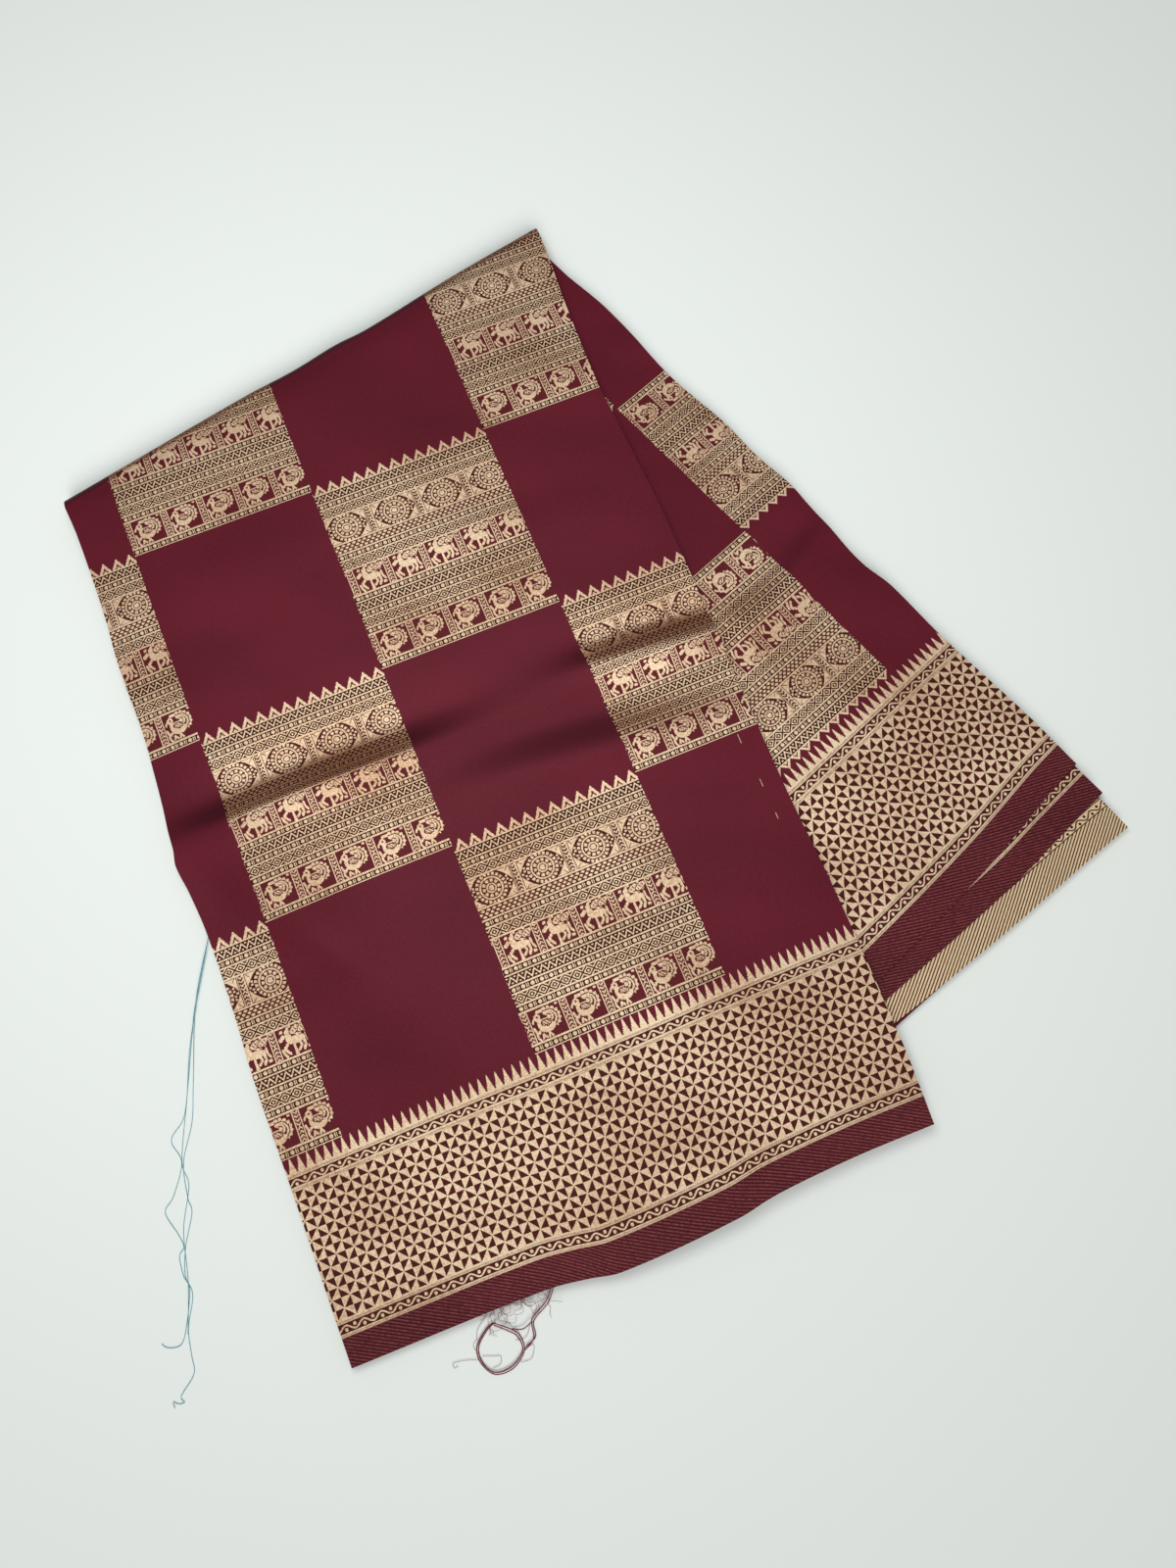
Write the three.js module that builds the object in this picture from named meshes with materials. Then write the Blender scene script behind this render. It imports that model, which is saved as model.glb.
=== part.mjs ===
// A silk saree folded lengthwise into a strip, folded once across, and laid down. The front half of
// the strip lies over the back half, which fans out to the right beneath it.
// Units are millimetres and +Z is up. The cloth rests on z = 0, and the origin is on that surface
// below the middle of the folded outline.
// Two flat frames are used. In the front frame s runs along the front hem from its left corner, and
// t runs from the hem to the fold. In the back frame l runs leftwards along the back hem from its
// right corner, and e runs from that hem to the fold.

import * as THREE from 'three';

// The strip, and where its two halves lie
const STRIP_WIDTH = 349;
const FRONT_CORNER = { x: -122.7, y: -360.1 };
const FRONT_TURN = THREE.MathUtils.degToRad(21.5);
const BACK_CORNER = { x: 303.7, y: -21.6 };
const BACK_TURN = THREE.MathUtils.degToRad(42.5);

// The fold across the strip: its line in the front frame, and how far its round nose reaches
const FOLD_START = 556.7;
const FOLD_SLOPE = 0.2264;
const NOSE_REACH = 9;
const NOSE_LEAD = 3;

// Thicknesses, from the table up
const CLOTH = 1.0;
const GAP = 0.3;
const BACK_STACK = 4.4;
const FRONT_STACK = 5.9;
const THIRD_FLOOR = BACK_STACK + GAP;
const SECOND_FLOOR = THIRD_FLOOR + CLOTH + GAP;
const FIRST_FLOOR = SECOND_FLOOR + CLOTH + GAP;
const FRONT_FLOOR = FIRST_FLOOR + CLOTH + GAP;

// How the front half steps down to the table past the edge of the back half
const STEP_START = 4;
const STEP_RUN = 110;

// Edges of the stacked layers
const LAYER_BULGE = 0.8;
const LAYER_INSET = 1.2;
const LAYER_WANDER = 0.45;
const WANDER_LENGTH = 70;
const SHORT_WANDER_LENGTH = 26;

// The two layers that peek out below the back hem are strips this far in from it
const STRIP_END = 75;
const STEP_UP = 4;

// Mesh counts
const FRONT_COLUMNS = 16;
const FRONT_ROWS = 48;
const NOSE_ROWS = 10;
const BACK_COLUMNS = 14;
const BACK_ROWS = 18;
const STRIP_ROWS = 3;
const BACK_LAYER_ROWS = 6;
const STATION_PAST = 1.05;
const BACK_LAYER_STATIONS = [0, 0.5, 1, STATION_PAST, 1.15, 1.25, 1.35, 1.45, 1.6, 1.8, 2];

// Left and right edges of the front half, as the shift of s at each t
const LEFT_EDGE = [
  { at: 0, shift: 0.9 },
  { at: 95, shift: -1.0 },
  { at: 165, shift: -2.8 },
  { at: 205, shift: -2.2 },
  { at: 256, shift: -3.3 },
  { at: 282, shift: -6.0 },
  { at: 300, shift: -8.6 },
  { at: 310, shift: -6.7 },
  { at: 325, shift: -6.5 },
  { at: 352, shift: -4.3 },
  { at: 385, shift: -2.8 },
  { at: 433, shift: -4.0 },
  { at: 465, shift: -2.7 },
  { at: 525, shift: -3.8 },
  { at: 552, shift: -6.5 },
];
const RIGHT_EDGE = [
  { at: 0, shift: -1.4 },
  { at: 56, shift: 0.4 },
  { at: 147, shift: 0.6 },
  { at: 211, shift: -1.2 },
  { at: 398, shift: -0.6 },
  { at: 474, shift: -3.6 },
  { at: 509, shift: -5.1 },
  { at: 572, shift: -3.1 },
  { at: 607, shift: -0.5 },
  { at: 631, shift: 0.6 },
];
// The front hem, as the shift of t at each s
const FRONT_HEM = [
  { at: 0, shift: 0 },
  { at: 114, shift: -1.5 },
  { at: 136, shift: -4.3 },
  { at: 155, shift: -7.7 },
  { at: 225, shift: -5.2 },
  { at: 250, shift: -1.5 },
  { at: 300, shift: 0.6 },
  { at: 349, shift: 0 },
];
// The fold's outer line, as the shift of its reach at each s
const FOLD_EDGE = [
  { at: 0, shift: -0.5 },
  { at: 125, shift: 0.2 },
  { at: 161, shift: -1.6 },
  { at: 192, shift: -0.4 },
  { at: 216, shift: -2.3 },
  { at: 280, shift: 0.4 },
  { at: 349, shift: 0.3 },
];
// The right edge of the back half, as the shift of l at each e
const BACK_EDGE = [
  { at: 0, shift: 0 },
  { at: 40, shift: -1.2 },
  { at: 114, shift: 0 },
  { at: 157, shift: -1.2 },
  { at: 180, shift: 1.5 },
  { at: 228, shift: -2.0 },
  { at: 253, shift: -4.0 },
  { at: 283, shift: -2.6 },
  { at: 312, shift: -3.9 },
  { at: 360, shift: -1.2 },
  { at: 427, shift: -5.1 },
  { at: 466, shift: -2.7 },
];
// Hems of the back layers: the shift of e at each l, and where the right edge stands at the hem
const FIRST_HEM = {
  line: [
    { at: 0, shift: 0 },
    { at: 20, shift: -0.9 },
    { at: 45, shift: -3.4 },
    { at: 72, shift: -6.1 },
    { at: 95, shift: -7.5 },
    { at: 130, shift: -8.8 },
    { at: 185, shift: -9.5 },
    { at: 349, shift: -9.5 },
  ],
  right: 0,
};
const SECOND_HEM = {
  line: [
    { at: 0, shift: -23.0 },
    { at: 40, shift: -23.8 },
    { at: 75, shift: -24.8 },
    { at: 110, shift: -23.9 },
    { at: 160, shift: -21.7 },
    { at: 190, shift: -20.3 },
    { at: 349, shift: -14.0 },
  ],
  right: 1.2,
};
const THIRD_HEM = {
  line: [
    { at: 0, shift: -48.2 },
    { at: 35, shift: -45.5 },
    { at: 85, shift: -42.6 },
    { at: 122, shift: -39.9 },
    { at: 172, shift: -35.4 },
    { at: 191, shift: -33.4 },
    { at: 349, shift: -20.0 },
  ],
  right: 5.4,
};
const LOWEST_HEM = {
  line: [
    { at: 0, shift: -44.8 },
    { at: 110, shift: -39.4 },
    { at: 160, shift: -36.4 },
    { at: 197, shift: -34.0 },
    { at: 349, shift: -24.0 },
  ],
  right: 7,
};

// Soft waves of the front half: centre, turn from the hem, half length, half width and rise
const FRONT_WAVES = [
  { s: 88, t: 308, turn: 0, reach: 92, spread: 12, rise: 4.0 },
  { s: 88, t: 337, turn: 0, reach: 92, spread: 13, rise: -2.3 },
  { s: 312, t: 316, turn: -4, reach: 54, spread: 11, rise: 3.8 },
  { s: 312, t: 341, turn: -4, reach: 54, spread: 12, rise: -2.2 },
  { s: 250, t: 270, turn: -6, reach: 100, spread: 14, rise: 3.0 },
  { s: 240, t: 299, turn: -6, reach: 90, spread: 12, rise: -2.0 },
  { s: 8, t: 278, turn: -60, reach: 26, spread: 12, rise: -1.6 },
  { s: 60, t: 220, turn: -54, reach: 34, spread: 9, rise: 1.3 },
  { s: 120, t: 470, turn: 12, reach: 120, spread: 26, rise: 0.9 },
  { s: 190, t: 150, turn: 4, reach: 120, spread: 28, rise: 0.9 },
  { s: 174.5, t: 601, turn: 12.8, reach: 420, spread: 17, rise: -2.6 },
];
// Soft ridges of the back half, in its own frame
const BACK_WAVES = [
  { l: 80, e: 203, turn: 6, reach: 46, spread: 11, rise: 2.2 },
  { l: 22, e: 208, turn: -8, reach: 36, spread: 12, rise: 2.2 },
  { l: 30, e: 244, turn: -10, reach: 34, spread: 12, rise: 1.6 },
  { l: 14, e: 172, turn: 12, reach: 30, spread: 16, rise: 1.2 },
  { l: 4, e: 400, turn: 40, reach: 26, spread: 14, rise: 1.0 },
];
const WAVE_FADE = 18;

const MAROON = 0x5f1e2d;
const GOLD = 0xc9ad88;

function smooth(value) {
  const x = THREE.MathUtils.clamp(value, 0, 1);
  return x * x * (3 - 2 * x);
}

// Reads a table of shifts at a place along an edge: a cubic between rows whose slope at each row is
// that of the line through the rows beside it.
function shiftAt(table, place) {
  const last = table.length - 1;
  if (place <= table[0].at) return table[0].shift;
  if (place >= table[last].at) return table[last].shift;
  const slopeAt = (i) => {
    const before = table[Math.max(i - 1, 0)];
    const after = table[Math.min(i + 1, last)];
    return (after.shift - before.shift) / (after.at - before.at);
  };
  const i = table.findIndex((row) => place < row.at);
  const start = table[i - 1];
  const end = table[i];
  const run = end.at - start.at;
  const x = (place - start.at) / run;
  const eased = smooth(x);
  const bend = run * x * (1 - x) * ((1 - x) * slopeAt(i - 1) - x * slopeAt(i));
  return THREE.MathUtils.lerp(start.shift, end.shift, eased) + bend;
}

function frontPoint(s, t, z) {
  const x = FRONT_CORNER.x + s * Math.cos(FRONT_TURN) - t * Math.sin(FRONT_TURN);
  const y = FRONT_CORNER.y + s * Math.sin(FRONT_TURN) + t * Math.cos(FRONT_TURN);
  return new THREE.Vector3(x, y, z);
}

function backPoint(l, e, z) {
  const x = BACK_CORNER.x - l * Math.cos(BACK_TURN) - e * Math.sin(BACK_TURN);
  const y = BACK_CORNER.y - l * Math.sin(BACK_TURN) + e * Math.cos(BACK_TURN);
  return new THREE.Vector3(x, y, z);
}

function toFrontFrame(point) {
  const dx = point.x - FRONT_CORNER.x;
  const dy = point.y - FRONT_CORNER.y;
  const s = dx * Math.cos(FRONT_TURN) + dy * Math.sin(FRONT_TURN);
  const t = dy * Math.cos(FRONT_TURN) - dx * Math.sin(FRONT_TURN);
  return { s, t };
}

function toBackFrame(point) {
  const dx = BACK_CORNER.x - point.x;
  const dy = BACK_CORNER.y - point.y;
  const l = dx * Math.cos(BACK_TURN) + dy * Math.sin(BACK_TURN);
  const e = dx * Math.sin(BACK_TURN) - dy * Math.cos(BACK_TURN);
  return { l, e };
}

function hemAt(hem, l) {
  return shiftAt(hem.line, l);
}

// Where the round nose of the fold starts, in the front frame.
function noseStart(s) {
  return FOLD_START + FOLD_SLOPE * s - NOSE_REACH;
}

// Where a line of the back half at a given l meets the nose: e rises with t, so this is linear.
function backEnd(l) {
  const start = toFrontFrame(backPoint(l, 0, 0));
  const oneOn = toFrontFrame(backPoint(l, 1, 0));
  const missing = noseStart(start.s) - GAP - start.t;
  const closing = (oneOn.t - start.t) - FOLD_SLOPE * (oneOn.s - start.s);
  return missing / closing;
}

// The surface that the front half lies on: the back half, a soft step, and the table.
function supportHeight(s, t) {
  const { l, e } = toBackFrame(frontPoint(s, t, 0));
  const beside = Math.max(-l, l - STRIP_WIDTH, 0);
  const below = Math.max(hemAt(LOWEST_HEM, l) - e, 0);
  const away = Math.hypot(beside, below);
  return FRONT_FLOOR * (1 - smooth((away - STEP_START) / STEP_RUN));
}

// One wave is a rise that dies away from a short line: slowly along it and fast across it.
function waveHeight(along, across, wave) {
  const turn = THREE.MathUtils.degToRad(wave.turn);
  const lengthwise = (along * Math.cos(turn) + across * Math.sin(turn)) / wave.reach;
  const crosswise = (across * Math.cos(turn) - along * Math.sin(turn)) / wave.spread;
  return wave.rise * Math.exp(-lengthwise * lengthwise - crosswise * crosswise);
}

function frontRelief(s, t) {
  return FRONT_WAVES.reduce((sum, wave) => sum + waveHeight(s - wave.s, t - wave.t, wave), 0);
}

function backRelief(l, e) {
  const { s } = toFrontFrame(backPoint(l, e, 0));
  const shown = smooth((s - STRIP_WIDTH - 2 * LAYER_INSET) / WAVE_FADE);
  const sum = BACK_WAVES.reduce((total, wave) => total + waveHeight(l - wave.l, e - wave.e, wave), 0);
  return shown * Math.max(sum, 0);
}

function frontTop(s, t) {
  return supportHeight(s, t) + FRONT_STACK + frontRelief(s, t);
}

// A closed body from a box of nodes: place(u, v, w) gives each node of its six faces, with u to the
// right, v towards the fold and w up. rows lists the values of u, v and w.
function warpedBox(rows, place) {
  const [us, vs, ws] = rows;
  const last = [us.length - 1, vs.length - 1, ws.length - 1];
  const positions = [];
  const index = new Map();
  const node = (i, j, k) => {
    const key = `${i},${j},${k}`;
    if (!index.has(key)) {
      const point = place(us[i], vs[j], ws[k]);
      index.set(key, positions.length / 3);
      positions.push(point.x, point.y, point.z);
    }
    return index.get(key);
  };
  const faces = [];
  const quad = (a, b, c, d) => faces.push(a, b, c, a, c, d);
  for (let i = 0; i < last[0]; i += 1) {
    for (let j = 0; j < last[1]; j += 1) {
      quad(node(i, j, 0), node(i, j + 1, 0), node(i + 1, j + 1, 0), node(i + 1, j, 0));
      const top = last[2];
      quad(node(i, j, top), node(i + 1, j, top), node(i + 1, j + 1, top), node(i, j + 1, top));
    }
    for (let k = 0; k < last[2]; k += 1) {
      quad(node(i, 0, k), node(i + 1, 0, k), node(i + 1, 0, k + 1), node(i, 0, k + 1));
      const end = last[1];
      quad(node(i, end, k), node(i, end, k + 1), node(i + 1, end, k + 1), node(i + 1, end, k));
    }
  }
  for (let j = 0; j < last[1]; j += 1) {
    for (let k = 0; k < last[2]; k += 1) {
      quad(node(0, j, k), node(0, j, k + 1), node(0, j + 1, k + 1), node(0, j + 1, k));
      const side = last[0];
      quad(node(side, j, k), node(side, j + 1, k), node(side, j + 1, k + 1), node(side, j, k + 1));
    }
  }
  const geometry = new THREE.BufferGeometry();
  geometry.setAttribute('position', new THREE.Float32BufferAttribute(positions, 3));
  geometry.setIndex(faces);
  geometry.computeVertexNormals();
  return geometry;
}

function evenRows(count) {
  return Array.from({ length: count + 1 }, (_, i) => i / count);
}

// The plan place of the front half at u and v, set in from its edges.
function frontPlan(u, v, inset) {
  const roughT = v * noseStart(u * STRIP_WIDTH);
  const left = shiftAt(LEFT_EDGE, roughT) + inset;
  const right = STRIP_WIDTH + shiftAt(RIGHT_EDGE, roughT) - inset;
  const s = THREE.MathUtils.lerp(left, right, u);
  const hem = shiftAt(FRONT_HEM, s) + inset;
  const t = THREE.MathUtils.lerp(hem, noseStart(s), v);
  return { s, t };
}

// A point of the fold's nose: half an ellipse from the top of the cloth down to the table, at an
// angle from a quarter turn at the top to minus a quarter turn below, set in from the outside.
function nosePoint(s, t, top, inset, angle) {
  const reach = (NOSE_REACH + shiftAt(FOLD_EDGE, s) - inset) * Math.cos(angle);
  const height = top / 2 + (top / 2 - inset) * Math.sin(angle);
  return frontPoint(s, t + reach, height);
}

// The top layer of the front half: flat from hem to nose, then round the nose down to the table.
// v runs to 1 at the start of the nose and to 2 at its end.
function makeFrontPanel() {
  const flat = evenRows(FRONT_ROWS);
  const nose = evenRows(NOSE_ROWS).slice(1).map((part) => 1 + part);
  const rows = [evenRows(FRONT_COLUMNS), [...flat, ...nose], [0, 1]];
  return warpedBox(rows, (u, v, w) => {
    const { s, t } = frontPlan(u, Math.min(v, 1), 0);
    const inner = (1 - w) * CLOTH;
    const top = frontTop(s, t) + GAP + CLOTH;
    if (v <= 1) return frontPoint(s, t, top - inner);
    return nosePoint(s, t, top, inner, Math.PI * (1.5 - v));
  });
}

// How far a layer stands out of a stacked edge: round bulges, and a slow wander along the edge.
function layerOut(w, count, along) {
  const bulge = LAYER_BULGE * Math.abs(Math.sin(Math.PI * count * w));
  const slow = Math.sin(along / WANDER_LENGTH + 5 * w);
  const quick = Math.sin(along / SHORT_WANDER_LENGTH - 9 * w);
  return bulge + LAYER_WANDER * (slow + 0.6 * quick);
}

// The hidden layers of the front half: one body, layered at its edges, with a round nose that fills
// the fold. v runs to 1 at the last flat row, whose top stops short of the nose, and is 2 on it.
function makeFrontLayers() {
  const rows = [evenRows(FRONT_COLUMNS), [...evenRows(FRONT_ROWS), 2], evenRows(NOSE_ROWS)];
  const layers = NOSE_ROWS / 2;
  return warpedBox(rows, (u, v, w) => {
    const plan = frontPlan(u, Math.min(v, 1), LAYER_INSET);
    const side = (u === 1 ? 1 : 0) - (u === 0 ? 1 : 0);
    const s = plan.s + side * layerOut(w, layers, plan.t);
    const hemOut = v === 0 ? layerOut(w, layers, plan.s) : 0;
    if (v <= 1) {
      const floor = supportHeight(plan.s, plan.t);
      const roof = frontTop(plan.s, plan.t);
      const lead = v === 1 ? NOSE_LEAD * w : 0;
      return frontPoint(s, plan.t - hemOut - lead, THREE.MathUtils.lerp(floor, roof, w));
    }
    const top = frontTop(plan.s, plan.t) + GAP + CLOTH;
    return nosePoint(s, plan.t, top, CLOTH + GAP, Math.PI * (w - 0.5));
  });
}

// The top layer of the back half, from its hem to the nose.
function makeBackPanel() {
  const rows = [evenRows(BACK_COLUMNS), evenRows(BACK_ROWS), [0, 1]];
  return warpedBox(rows, (u, v, w) => {
    const right = shiftAt(BACK_EDGE, v * backEnd(0));
    const l = THREE.MathUtils.lerp(STRIP_WIDTH, FIRST_HEM.right + right, u);
    const e = THREE.MathUtils.lerp(hemAt(FIRST_HEM, l), backEnd(l), v);
    const roof = FIRST_FLOOR + CLOTH + backRelief(l, e);
    return backPoint(l, e, w === 0 ? FIRST_FLOOR : roof);
  });
}

// A layer that shows below the back hem: a strip from its own hem to a line under the layer above.
function makeBackStrip(hem, floor) {
  const rows = [evenRows(BACK_COLUMNS), evenRows(STRIP_ROWS), [0, 1]];
  return warpedBox(rows, (u, v, w) => {
    const right = THREE.MathUtils.lerp(hem.right, shiftAt(BACK_EDGE, STRIP_END) + LAYER_INSET, v);
    const l = THREE.MathUtils.lerp(STRIP_WIDTH - LAYER_INSET, right, u);
    const e = THREE.MathUtils.lerp(hemAt(hem, l), STRIP_END, v);
    return backPoint(l, e, floor + w * CLOTH);
  });
}

// The hidden layers of the back half: one body, flat below, layered at its edges. Its top is low
// under the two strips and higher past them. v runs to 1 below the strips and on to 2 past them.
function makeBackLayers() {
  const rows = [evenRows(BACK_COLUMNS), BACK_LAYER_STATIONS, evenRows(BACK_LAYER_ROWS)];
  const layers = BACK_LAYER_ROWS / 2;
  return warpedBox(rows, (u, v, w) => {
    const side = (u === 1 ? 1 : 0) - (u === 0 ? 1 : 0);
    const roughE = v <= 1 ? v * STRIP_END : THREE.MathUtils.lerp(STRIP_END, backEnd(0), v - 1);
    const right = Math.max(shiftAt(BACK_EDGE, roughE) + LAYER_INSET, LOWEST_HEM.right * (1 - v));
    const l = THREE.MathUtils.lerp(STRIP_WIDTH - 2 * LAYER_INSET, right, u);
    const hem = hemAt(LOWEST_HEM, l);
    const below = THREE.MathUtils.lerp(hem, STRIP_END + GAP, Math.min(v, 1));
    const part = (v - STATION_PAST) / (2 - STATION_PAST);
    const past = THREE.MathUtils.lerp(STRIP_END + STEP_UP, backEnd(l), part);
    const e = v <= 1 ? below : past;
    const roof = v <= 1 ? BACK_STACK : FIRST_FLOOR - GAP;
    const sideOut = side * layerOut(w, layers, e);
    const hemOut = v === 0 ? layerOut(w, layers, l) : 0;
    return backPoint(l - sideOut, e - hemOut, w * roof);
  });
}

function cloth(name, geometry, color) {
  const material = new THREE.MeshStandardMaterial({ color, roughness: 0.62, metalness: 0 });
  const mesh = new THREE.Mesh(geometry, material);
  mesh.name = name;
  return mesh;
}

const saree = new THREE.Group();
saree.add(cloth('front_panel', makeFrontPanel(), MAROON));
saree.add(cloth('front_layers', makeFrontLayers(), MAROON));
saree.add(cloth('back_panel', makeBackPanel(), MAROON));
saree.add(cloth('back_second_layer', makeBackStrip(SECOND_HEM, SECOND_FLOOR), MAROON));
saree.add(cloth('back_third_layer', makeBackStrip(THIRD_HEM, THIRD_FLOOR), GOLD));
saree.add(cloth('back_layers', makeBackLayers(), MAROON));

export default saree;
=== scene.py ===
"""A folded silk saree with woven gold checks and border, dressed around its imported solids.

The front half of the folded strip lies over the back half, which fans out to the right beneath it.
Lengths in this script are millimetres, and meshes are made in metres. Two flat frames are used. In
the front frame s runs along the front hem from its left corner and t from the hem to the fold. In
the back frame l runs leftwards along the back hem from its right corner and e from that hem to the
fold. The weave follows each sheet's own UV map, which holds places on the cloth in metres.
"""

from collections import namedtuple
from math import cos, pi, radians, sin

import bpy
import numpy as np
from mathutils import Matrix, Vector


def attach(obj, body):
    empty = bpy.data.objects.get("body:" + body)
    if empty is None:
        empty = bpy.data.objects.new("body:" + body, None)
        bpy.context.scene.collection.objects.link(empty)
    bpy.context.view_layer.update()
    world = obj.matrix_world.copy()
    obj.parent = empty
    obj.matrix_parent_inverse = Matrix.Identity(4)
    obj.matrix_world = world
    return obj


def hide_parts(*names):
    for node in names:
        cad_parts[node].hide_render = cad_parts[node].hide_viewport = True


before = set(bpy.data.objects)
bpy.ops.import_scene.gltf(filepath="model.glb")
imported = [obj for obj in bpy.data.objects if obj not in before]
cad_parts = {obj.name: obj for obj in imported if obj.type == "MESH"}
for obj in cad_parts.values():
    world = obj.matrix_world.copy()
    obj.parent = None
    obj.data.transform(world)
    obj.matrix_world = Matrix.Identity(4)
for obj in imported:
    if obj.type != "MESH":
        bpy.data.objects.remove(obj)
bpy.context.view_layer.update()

bl_info = {
    "name": "Folded Silk Saree",
    "version": (1, 0, 0),
    "blender": (4, 5, 0),
    "location": "3D View > Sidebar > Saree",
    "description": "Builds a folded silk saree with woven gold checks and border",
    "category": "Object",
}

BODY = "root"
TABLE_REACH = 3.0
MM = 0.001
SHARP_ANGLE = radians(50)

# The strip and where its halves lie, as in the solids
STRIP_WIDTH = 349
FRONT_TURN = radians(21.5)
BACK_TURN = radians(42.5)
# Each half's flat frame: its corner, its turn, and 1 or -1 for which way its first direction runs
FRONT = ((-122.7, -360.1), FRONT_TURN, 1)
BACK = ((303.7, -21.6), BACK_TURN, -1)
FOLD_START = 556.7
FOLD_SLOPE = 0.2264
NOSE_REACH = 9
NOSE_LEAD = 3

# Thicknesses, from the table up
CLOTH = 1.0
GAP = 0.3
BACK_STACK = 4.4
FRONT_STACK = 5.9
THIRD_FLOOR = BACK_STACK + GAP
SECOND_FLOOR = THIRD_FLOOR + CLOTH + GAP
FIRST_FLOOR = SECOND_FLOOR + CLOTH + GAP
FRONT_FLOOR = FIRST_FLOOR + CLOTH + GAP
STEP_START = 4
STEP_RUN = 110
LAYER_BULGE = 0.8
LAYER_INSET = 1.2
LAYER_WANDER = 0.45
WANDER_LENGTH = 70
SHORT_WANDER_LENGTH = 26
FRONT_LAYER_COUNT = 5
BACK_LAYER_COUNT = 3
STRIP_END = 75
STEP_UP = 4
WAVE_FADE = 18

# Edges as pairs of a place along the edge and the shift there
LEFT_EDGE = (
    (0, 0.9), (95, -1.0), (165, -2.8), (205, -2.2), (256, -3.3), (282, -6.0), (300, -8.6), (310, -6.7),
    (325, -6.5), (352, -4.3), (385, -2.8), (433, -4.0), (465, -2.7), (525, -3.8), (552, -6.5),
)
RIGHT_EDGE = (
    (0, -1.4), (56, 0.4), (147, 0.6), (211, -1.2), (398, -0.6), (474, -3.6), (509, -5.1), (572, -3.1),
    (607, -0.5), (631, 0.6),
)
FRONT_HEM = (
    (0, 0), (114, -1.5), (136, -4.3), (155, -7.7), (225, -5.2), (250, -1.5), (300, 0.6), (349, 0),
)
FOLD_EDGE = (
    (0, -0.5), (125, 0.2), (161, -1.6), (192, -0.4), (216, -2.3), (280, 0.4), (349, 0.3),
)
BACK_EDGE = (
    (0, 0), (40, -1.2), (114, 0), (157, -1.2), (180, 1.5), (228, -2.0), (253, -4.0), (283, -2.6),
    (312, -3.9), (360, -1.2), (427, -5.1), (466, -2.7),
)
# Hems of the back layers: e at each l, and where the right edge stands at the hem
FIRST_HEM = (
    ((0, 0), (20, -0.9), (45, -3.4), (72, -6.1), (95, -7.5), (130, -8.8), (185, -9.5), (349, -9.5)), 0,
)
SECOND_HEM = (
    ((0, -23.0), (40, -23.8), (75, -24.8), (110, -23.9), (160, -21.7), (190, -20.3), (349, -14.0)), 1.2,
)
THIRD_HEM = (
    ((0, -48.2), (35, -45.5), (85, -42.6), (122, -39.9), (172, -35.4), (191, -33.4), (349, -20.0)), 5.4,
)
LOWEST_HEM = (
    ((0, -44.8), (110, -39.4), (160, -36.4), (197, -34.0), (349, -24.0)), 7,
)

# Soft waves: place along and across, turn in degrees, half length, half width and rise
FRONT_WAVES = (
    (88, 308, 0, 92, 12, 4.0), (88, 337, 0, 92, 13, -2.3), (312, 316, -4, 54, 11, 3.8),
    (312, 341, -4, 54, 12, -2.2), (250, 270, -6, 100, 14, 3.0), (240, 299, -6, 90, 12, -2.0),
    (8, 278, -60, 26, 12, -1.6), (60, 220, -54, 34, 9, 1.3), (120, 470, 12, 120, 26, 0.9),
    (190, 150, 4, 120, 28, 0.9), (174.5, 601, 12.8, 420, 17, -2.6),
)
BACK_WAVES = (
    (80, 203, 6, 46, 11, 2.2), (22, 208, -8, 36, 12, 2.2), (30, 244, -10, 34, 12, 1.6),
    (14, 172, 12, 30, 16, 1.2), (4, 400, 40, 26, 14, 1.0),
)
# Finer creases of the front half's top layers, which the solids leave out
FINE_WAVES = (
    (88, 313, 0, 92, 8, 1.9), (88, 331, 0, 92, 9, -1.5), (312, 321, -4, 54, 8, 1.7),
    (312, 338, -4, 54, 9, -1.4), (150, 62, 62, 70, 16, 0.9), (285, 60, 84, 60, 18, 0.6),
    (70, 190, -50, 60, 14, 0.5), (205, 218, 20, 80, 16, 0.5), (250, 430, -10, 70, 16, 0.6),
)

# The weave: the checks' grid on the cloth and its drift against the front frame
CHECK_WIDTH = 118
CHECK_PITCH = 131
FIRST_COLUMN = 35.1
FIRST_ROW = 116.2
COLUMN_DRIFT = 0.021
ROW_DRIFT = 0.015
# The selvedge's twill: the run of one line along the hem and its rise against it
TWILL_RUN = 3.64
TWILL_SLOPE = 1.84
# Rows of the weave as pairs of t in the front frame and the distance along the cloth
ROW_TABLE = ((116.2, 116.2), (247, 247.2), (290, 292), (325, 334), (367, 378.2), (497, 509.2), (660, 672))
BACK_COLUMN = 42

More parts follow.
